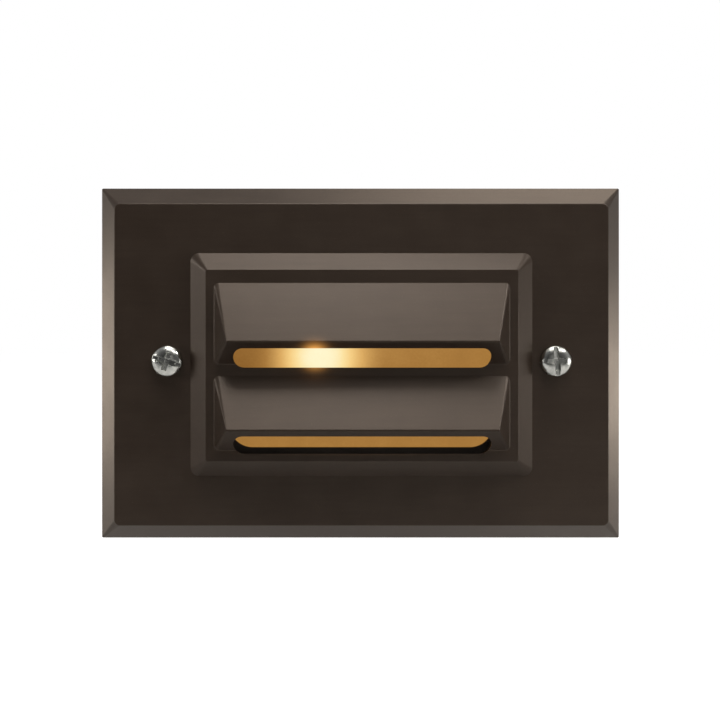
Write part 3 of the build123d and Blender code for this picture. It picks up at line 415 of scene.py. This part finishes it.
def mesh_piece(name, points, faces, sharp=None):
    """Object of points and blocks of faces; smooth, with creases above the sharp angle in degrees.

    Each block of faces is an array of point numbers, a row for each face.
    """
    corners = []
    for block in faces:
        corners += block.tolist()
    mesh = bpy.data.meshes.new(name)
    mesh.from_pydata(np.asarray(points).tolist(), [], corners)
    mesh.update()
    obj = bpy.data.objects.new(name, mesh)
    bpy.context.scene.collection.objects.link(obj)
    if sharp is not None:
        mesh.shade_smooth()
        mesh.set_sharp_from_angle(angle=math.radians(sharp))
    return obj


def step_up(value):
    """Smooth step 3t^2 - 2t^3 of a value held between 0 and 1."""
    share = np.clip(value, 0, 1)
    return share * share * (3 - 2 * share)


def closed_skin(rows):
    """Points and faces of a skin made of rings, closed at both ends.

    rows holds (ring, column, xyz). Its first and last rings are the poles, where only one point is kept.
    """
    rings, columns = rows.shape[:2]
    inner = rows[1:-1].reshape(-1, 3)
    points = np.vstack([rows[0, :1], inner, rows[-1, :1]])
    column = np.arange(columns)
    beside = (column + 1) % columns
    start = 1 + columns * np.arange(rings - 3)[:, None]
    corners = [start + column, start + columns + column, start + columns + beside, start + beside]
    quads = np.stack(corners, axis=-1).reshape(-1, 4)
    last = 1 + columns * (rings - 3)
    front = np.stack([np.zeros_like(column), 1 + column, 1 + beside], axis=-1)
    back = np.stack([np.full_like(column, len(points) - 1), last + beside, last + column], axis=-1)
    return points, [front, quads, back]


def screw_skin(place, point, size, power, recess, pitch, grid):
    """Screw along Y, its seat at place and its tip towards point (+1 or -1).

    size holds the radius of thread and head, the head's rise and straight edge, and the thread's length.
    The head's crown is edge + (rise - edge)(1 - s^n)^(1/n) over s = radius / head radius, n being the power,
    less the recess. The thread's radius is its crest less a V wave of (depth / pitch - turn), which fades
    out at both ends, and less a taper that grows with the square of the way to the tip's end.
    """
    thread, head, rise, edge, length = size
    columns, head_rings, rows_per_turn = grid
    turn = TURN * np.arange(columns) / columns
    share = np.linspace(0, 1, head_rings) ** RIM_CROWDING
    crown = edge + (rise - edge) * (1 - share**power) ** (1 / power)
    radius = head * share[:, None] + 0 * turn
    along = crown[:, None] - recess(radius * np.cos(turn), radius * np.sin(turn), crown[:, None])
    neck = np.array([[head, 0.0], [thread, 0.0]])
    count = int(length / pitch * rows_per_turn)
    depth = np.linspace(0, length, count)[:, None]
    wave = np.abs(2 * ((depth / pitch - turn / TURN) % 1) - 1)
    fade = step_up(depth / pitch) * step_up((length - depth) / pitch)
    cut = THREAD_DEPTH * pitch
    tip = np.clip((depth - length + cut) / cut, 0, 1)
    shank = thread - cut * wave * fade - TIP_TAPER * cut * tip * tip
    ring = np.ones_like(turn)
    radii = np.vstack([radius, neck[:, :1] * ring, shank, 0 * ring])
    heights = np.vstack([along, neck[:, 1:] * ring, -depth * ring, -length * ring[None]])
    x, seat, z = place
    rows = np.stack(
        [x + radii * np.cos(turn) * point, seat - heights * point, z + radii * np.sin(turn)], axis=-1
    )
    return closed_skin(rows)


def joined(skins):
    """Several skins as one: each skin's point numbers go up by the points of the skins before it."""
    points, faces, count = [], [], 0
    for skin_points, skin_faces in skins:
        points.append(skin_points)
        faces.extend(block + count for block in skin_faces)
        count += len(skin_points)
    return np.vstack(points), faces


def between_walls(offset, width):
    """1 between two walls and 0 beyond them, with a smooth step over EDGE_SOFT at each wall."""
    return step_up((width / 2 - np.abs(offset)) / EDGE_SOFT + 0.5)


def slot_and_cross(turned):
    """Recess of a face screw: a slot right across the head, turned by an angle, and a cross in its middle.

    A recess takes (crown - top + floor) off the crown, so that its bottom lies floor below the crown's top:
    flat in the slot, and a little less deep outwards in the cross. The deeper of the two counts.
    """

    def depth(x, z, crown):
        along = x * math.cos(turned) + z * math.sin(turned)
        aside = z * math.cos(turned) - x * math.sin(turned)
        top = crown.max()
        slot = between_walls(aside, SLOT_WIDTH) * (crown - top + SLOT_DEPTH)
        wings = 0 * slot
        for reach, offset in ((along, aside), (aside, along)):
            end = step_up((CROSS_REACH - np.abs(reach)) / EDGE_SOFT)
            inside = between_walls(offset, CROSS_WIDTH)
            floor = CROSS_DEPTH - CROSS_SLOPE * np.abs(reach)
            wings = np.maximum(wings, inside * end * (crown - top + floor))
        return np.maximum(np.maximum(slot, 0), wings)

    return depth


def plain_slot(width, deep):
    """Recess of a cheese head: one slot right across, whose flat floor lies deep below the crown's top."""

    def depth(_, z, crown):
        return between_walls(z, width) * (crown - crown.max() + deep)

    return depth


def stand_in(skin, node, body, slot_name, sharp):
    """Puts a detailed piece in the place of a node, on the node's body."""
    piece = mesh_piece(f"{node}_detailed", *skin, sharp=sharp)
    dress(piece, slot_name)
    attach(piece, body)
    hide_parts(node)


def face_screw(node, body, turned):
    """Pan-head screw with its thread, its driver slot turned by an angle."""
    low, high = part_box(node)
    head = (high[0] - low[0]) / 2
    place = ((low[0] + high[0]) / 2, FACE_SEAT, (low[2] + high[2]) / 2)
    size = (FACE_THREAD, head, FACE_SEAT - low[1], FACE_HEAD_EDGE, high[1] - FACE_SEAT)
    skin = screw_skin(place, 1, size, FACE_CROWN, slot_and_cross(turned), FACE_PITCH, FACE_GRID)
    stand_in(skin, node, body, "zinc_screws", FACE_CREASE)


def centres(low, high, head):
    """Middles of the screws that a box spans: one, or one at each end."""
    if high - low < PAIR_SPAN * head:
        return [(low + high) / 2]
    return [low + head, high - head]


def inner_screws(node, body, kind, point):
    """The cheese-head screws of a node, one in each corner or end of its box.

    kind is one of the sizes above. The tips are towards +Y where point is 1, and towards -Y where it is -1.
    """
    thread, head, rise, pitch = kind
    low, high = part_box(node)
    seat = low[1] + rise if point > 0 else high[1] - rise
    length = high[1] - low[1] - rise
    size = (thread, head, rise, CHEESE_EDGE * rise, length)
    slot = plain_slot(CHEESE_SLOT_WIDTH * head, CHEESE_SLOT_DEPTH * rise)
    skins = [
        screw_skin((x, seat, z), point, size, CHEESE_CROWN, slot, pitch, CHEESE_GRID)
        for x in centres(low[0], high[0], head)
        for z in centres(low[2], high[2], head)
    ]
    stand_in(joined(skins), node, body, "zinc_screws", CHEESE_CREASE)


def filament():
    """Coiled wire: a thin round tube along the helix (R cos t, pitch t, R sin t)."""
    low, high = (np.array(corner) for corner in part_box("lamp_filament"))
    middle = (low + high) / 2
    turn = np.linspace(0, TURN * COIL_TURNS, COIL_STEPS * COIL_TURNS)[:, None]
    coil = (high[0] - low[0]) / 2 - COIL_WIRE
    rise = (high[1] - low[1] - 2 * COIL_WIRE) * (turn / turn[-1] - 0.5)
    outward = np.hstack([np.cos(turn), 0 * turn, np.sin(turn)])
    line = middle + coil * outward + np.hstack([0 * turn, rise, 0 * turn])
    ahead = np.gradient(line, axis=0)
    aside = np.cross(ahead / np.linalg.norm(ahead, axis=1)[:, None], outward)
    around = (TURN * np.arange(COIL_SIDES) / COIL_SIDES)[None, :, None]
    tube = line[:, None] + COIL_WIRE * (np.cos(around) * outward[:, None] + np.sin(around) * aside[:, None])
    ends = [np.repeat(line[index][None, None], COIL_SIDES, axis=1) for index in (0, -1)]
    skin = closed_skin(np.concatenate([ends[0], tube, ends[1]]))
    stand_in(skin, "lamp_filament", "lamp", "glowing_wire", COIL_CREASE)


face_screw("face_screw_left", "left_screw", LEFT_TURN)
face_screw("face_screw_right", "right_screw", RIGHT_TURN)
inner_screws("lens_retainer_screws", "face", M2_SCREW, -1)
inner_screws("reflector_screws", "housing", M3_SCREW, 1)
inner_screws("bracket_screws", "housing", M3_SCREW, 1)
inner_screws("terminal_screws", "housing", M2_SCREW, 1)
inner_screws("terminal_block_screw", "housing", M3_SCREW, 1)
filament()


# Studio: pale floor, white surroundings, soft lights

WORLD_LEVEL = 0.12  # as a lamp
FRONT_LEVEL = 0.05  # in reflections, straight towards the camera's side
BACK_LEVEL = 0.35  # in reflections, everywhere else
FADE_START = -0.95  # Y of the direction where the front's level begins to change to the other
FADE_END = -0.1
FLOOR_DROP = 90 * MM  # below the light
FLOOR_FRONT = 0.35  # towards the camera
FLOOR_REACH = 3.0  # to the back and to each side
FLOOR_CLOUD = 0.4
FLOOR_GLOW = 0.92  # to the camera and through glass
MIRRORED_GLOW = 0.15  # in reflections

# Soft boxes: place and side in metres, brightness where 1 is white, colour
WHITE = (1.0, 0.98, 0.95)
WARM = (1.0, 0.87, 0.74)
LIGHTS = {
    "rear_top_box": ((0.2, 0.38, 0.6), 0.35, 2.3, WARM),
    "top_box": ((0.18, 0.0, 0.75), 0.35, 1.7, WHITE),
    "steep_box": ((-0.03, -0.22, 0.72), 0.3, 12.0, WHITE),
    "front_top_box": ((0.0, -0.45, 0.62), 0.3, 1.1, WHITE),
    "front_right_box": ((0.3, -0.45, 0.58), 0.3, 2.4, WHITE),
    "left_box": ((-0.7, 0.45, -0.07), 0.25, 4.4, WARM),
    "left_side_box": ((-0.75, -0.2, 0.14), 0.3, 7.2, WHITE),
    "right_box": ((0.68, 0.5, -0.12), 0.25, 4.3, WARM),
    "right_side_box": ((0.75, -0.2, -0.1), 0.3, 6.8, WHITE),
    "key_box": ((0.5, -0.27, 0.5), 0.12, 30.0, WHITE),
    "low_fill_box": ((0.28, -0.75, -0.12), 0.3, 0.4, WHITE),
    "high_fill_box": ((0.03, -0.75, 0.13), 0.3, 0.3, WHITE),
}


def studio_world():
    """White to the camera, even as a lamp, and dark on the camera's side in reflections."""
    world = bpy.data.worlds.new("studio")
    world.use_nodes = True
    tree = world.node_tree
    nodes = tree.nodes

    def white(strength):
        """White surroundings of a strength."""
        background = nodes.new("ShaderNodeBackground")
        background.inputs["Color"].default_value = (1, 1, 1, 1)
        background.inputs["Strength"].default_value = strength
        return background

    def choose(share, first, second):
        """Mix of two shaders, all of the first where share is 0 and all of the second where it is 1."""
        mix = nodes.new("ShaderNodeMixShader")
        for socket, value in zip(mix.inputs, (share, first, second)):
            tree.links.new(value, socket)
        return mix.outputs["Shader"]

    path = nodes.new("ShaderNodeLightPath")
    seen = nodes.new("ShaderNodeMath")
    seen.operation = "MAXIMUM"
    tree.links.new(path.outputs["Is Camera Ray"], seen.inputs[0])
    tree.links.new(path.outputs["Is Transmission Ray"], seen.inputs[1])
    split = nodes.new("ShaderNodeSeparateXYZ")
    tree.links.new(nodes.new("ShaderNodeTexCoord").outputs["Generated"], split.inputs["Vector"])
    front = nodes.new("ShaderNodeMapRange")
    front.interpolation_type = "SMOOTHSTEP"
    limits = {"From Min": FADE_START, "From Max": FADE_END, "To Min": FRONT_LEVEL, "To Max": BACK_LEVEL}
    for name, value in limits.items():
        front.inputs[name].default_value = value
    tree.links.new(split.outputs["Y"], front.inputs["Value"])
    mirrored = white(1.0)
    tree.links.new(front.outputs["Result"], mirrored.inputs["Strength"])
    lit = choose(path.outputs["Is Glossy Ray"], white(WORLD_LEVEL).outputs[0], mirrored.outputs[0])
    final = choose(seen.outputs["Value"], lit, white(1.0).outputs[0])
    tree.links.new(final, nodes["World Output"].inputs["Surface"])
    bpy.context.scene.world = world


def pale_floor():
    """Plain pale floor a little under the light."""
    height = CAD_BOX[0][2] - FLOOR_DROP
    across = (-FLOOR_REACH, FLOOR_REACH, FLOOR_REACH, -FLOOR_REACH)
    deep = (-FLOOR_FRONT, -FLOOR_FRONT, FLOOR_REACH, FLOOR_REACH)
    floor = mesh_piece("floor", [(x, y, height) for x, y in zip(across, deep)], [np.arange(4)[None]])
    finish = Finish("pale_floor")
    finish.set(Roughness=0.8, Specular_IOR_Level=0.1)
    cloud = finish.noise(FLOOR_CLOUD, detail=2.0)
    finish.colour(finish.blend(cloud, linear(192, 192, 192), linear(198, 198, 198)))
    path = finish.nodes.new("ShaderNodeLightPath")
    seen = finish.math("MAXIMUM", path.outputs["Is Camera Ray"], path.outputs["Is Transmission Ray"])
    mirrored = finish.math("MULTIPLY", path.outputs["Is Glossy Ray"], MIRRORED_GLOW)
    level = finish.math("MAXIMUM", finish.math("MULTIPLY", seen, FLOOR_GLOW), mirrored)
    glow = finish.nodes.new("ShaderNodeEmission")
    finish.links.new(level, glow.inputs["Strength"])
    both = finish.nodes.new("ShaderNodeAddShader")
    finish.links.new(finish.shader.outputs[0], both.inputs[0])
    finish.links.new(glow.outputs[0], both.inputs[1])
    finish.links.new(both.outputs[0], finish.output.inputs["Surface"])
    floor.data.materials.append(finish.material)


def soft_light(name, place, size, level, colour):
    """Square soft box that faces the light; level is its brightness, where 1 is white."""
    data = bpy.data.lights.new(name, "AREA")
    data.shape = "SQUARE"
    data.size = size
    data.energy = level * math.pi * size * size
    data.color = colour
    lamp = bpy.data.objects.new(name, data)
    lamp.location = place
    lamp.rotation_euler = (-Vector(place)).to_track_quat("-Z", "Y").to_euler()
    bpy.context.scene.collection.objects.link(lamp)


def camera():
    """Looks straight at the wall from a little left of and above the plate's middle, with a lens shift."""
    distance = -CAMERA_PLACE[1]
    width = PICTURE * METRES_PER_PIXEL
    data = bpy.data.cameras.new("camera")
    data.sensor_width = SENSOR
    data.lens = SENSOR * distance / width
    off_x = (PLATE_CENTRE[0] - PICTURE / 2) * METRES_PER_PIXEL
    off_z = (PICTURE / 2 - PLATE_CENTRE[1]) * METRES_PER_PIXEL
    data.shift_x = (-CAMERA_PLACE[0] - off_x) / width
    data.shift_y = (-CAMERA_PLACE[2] - off_z) / width
    view = bpy.data.objects.new("camera", data)
    view.location = CAMERA_PLACE
    view.rotation_euler = (math.pi / 2, 0, 0)
    data.clip_start = NEAR_CLIP
    bpy.context.scene.collection.objects.link(view)
    bpy.context.scene.camera = view


studio_world()
pale_floor()
for light_name, (place, side, level, colour) in LIGHTS.items():
    soft_light(light_name, place, side, level, colour)
camera()
bpy.context.scene.view_settings.view_transform = "Standard"
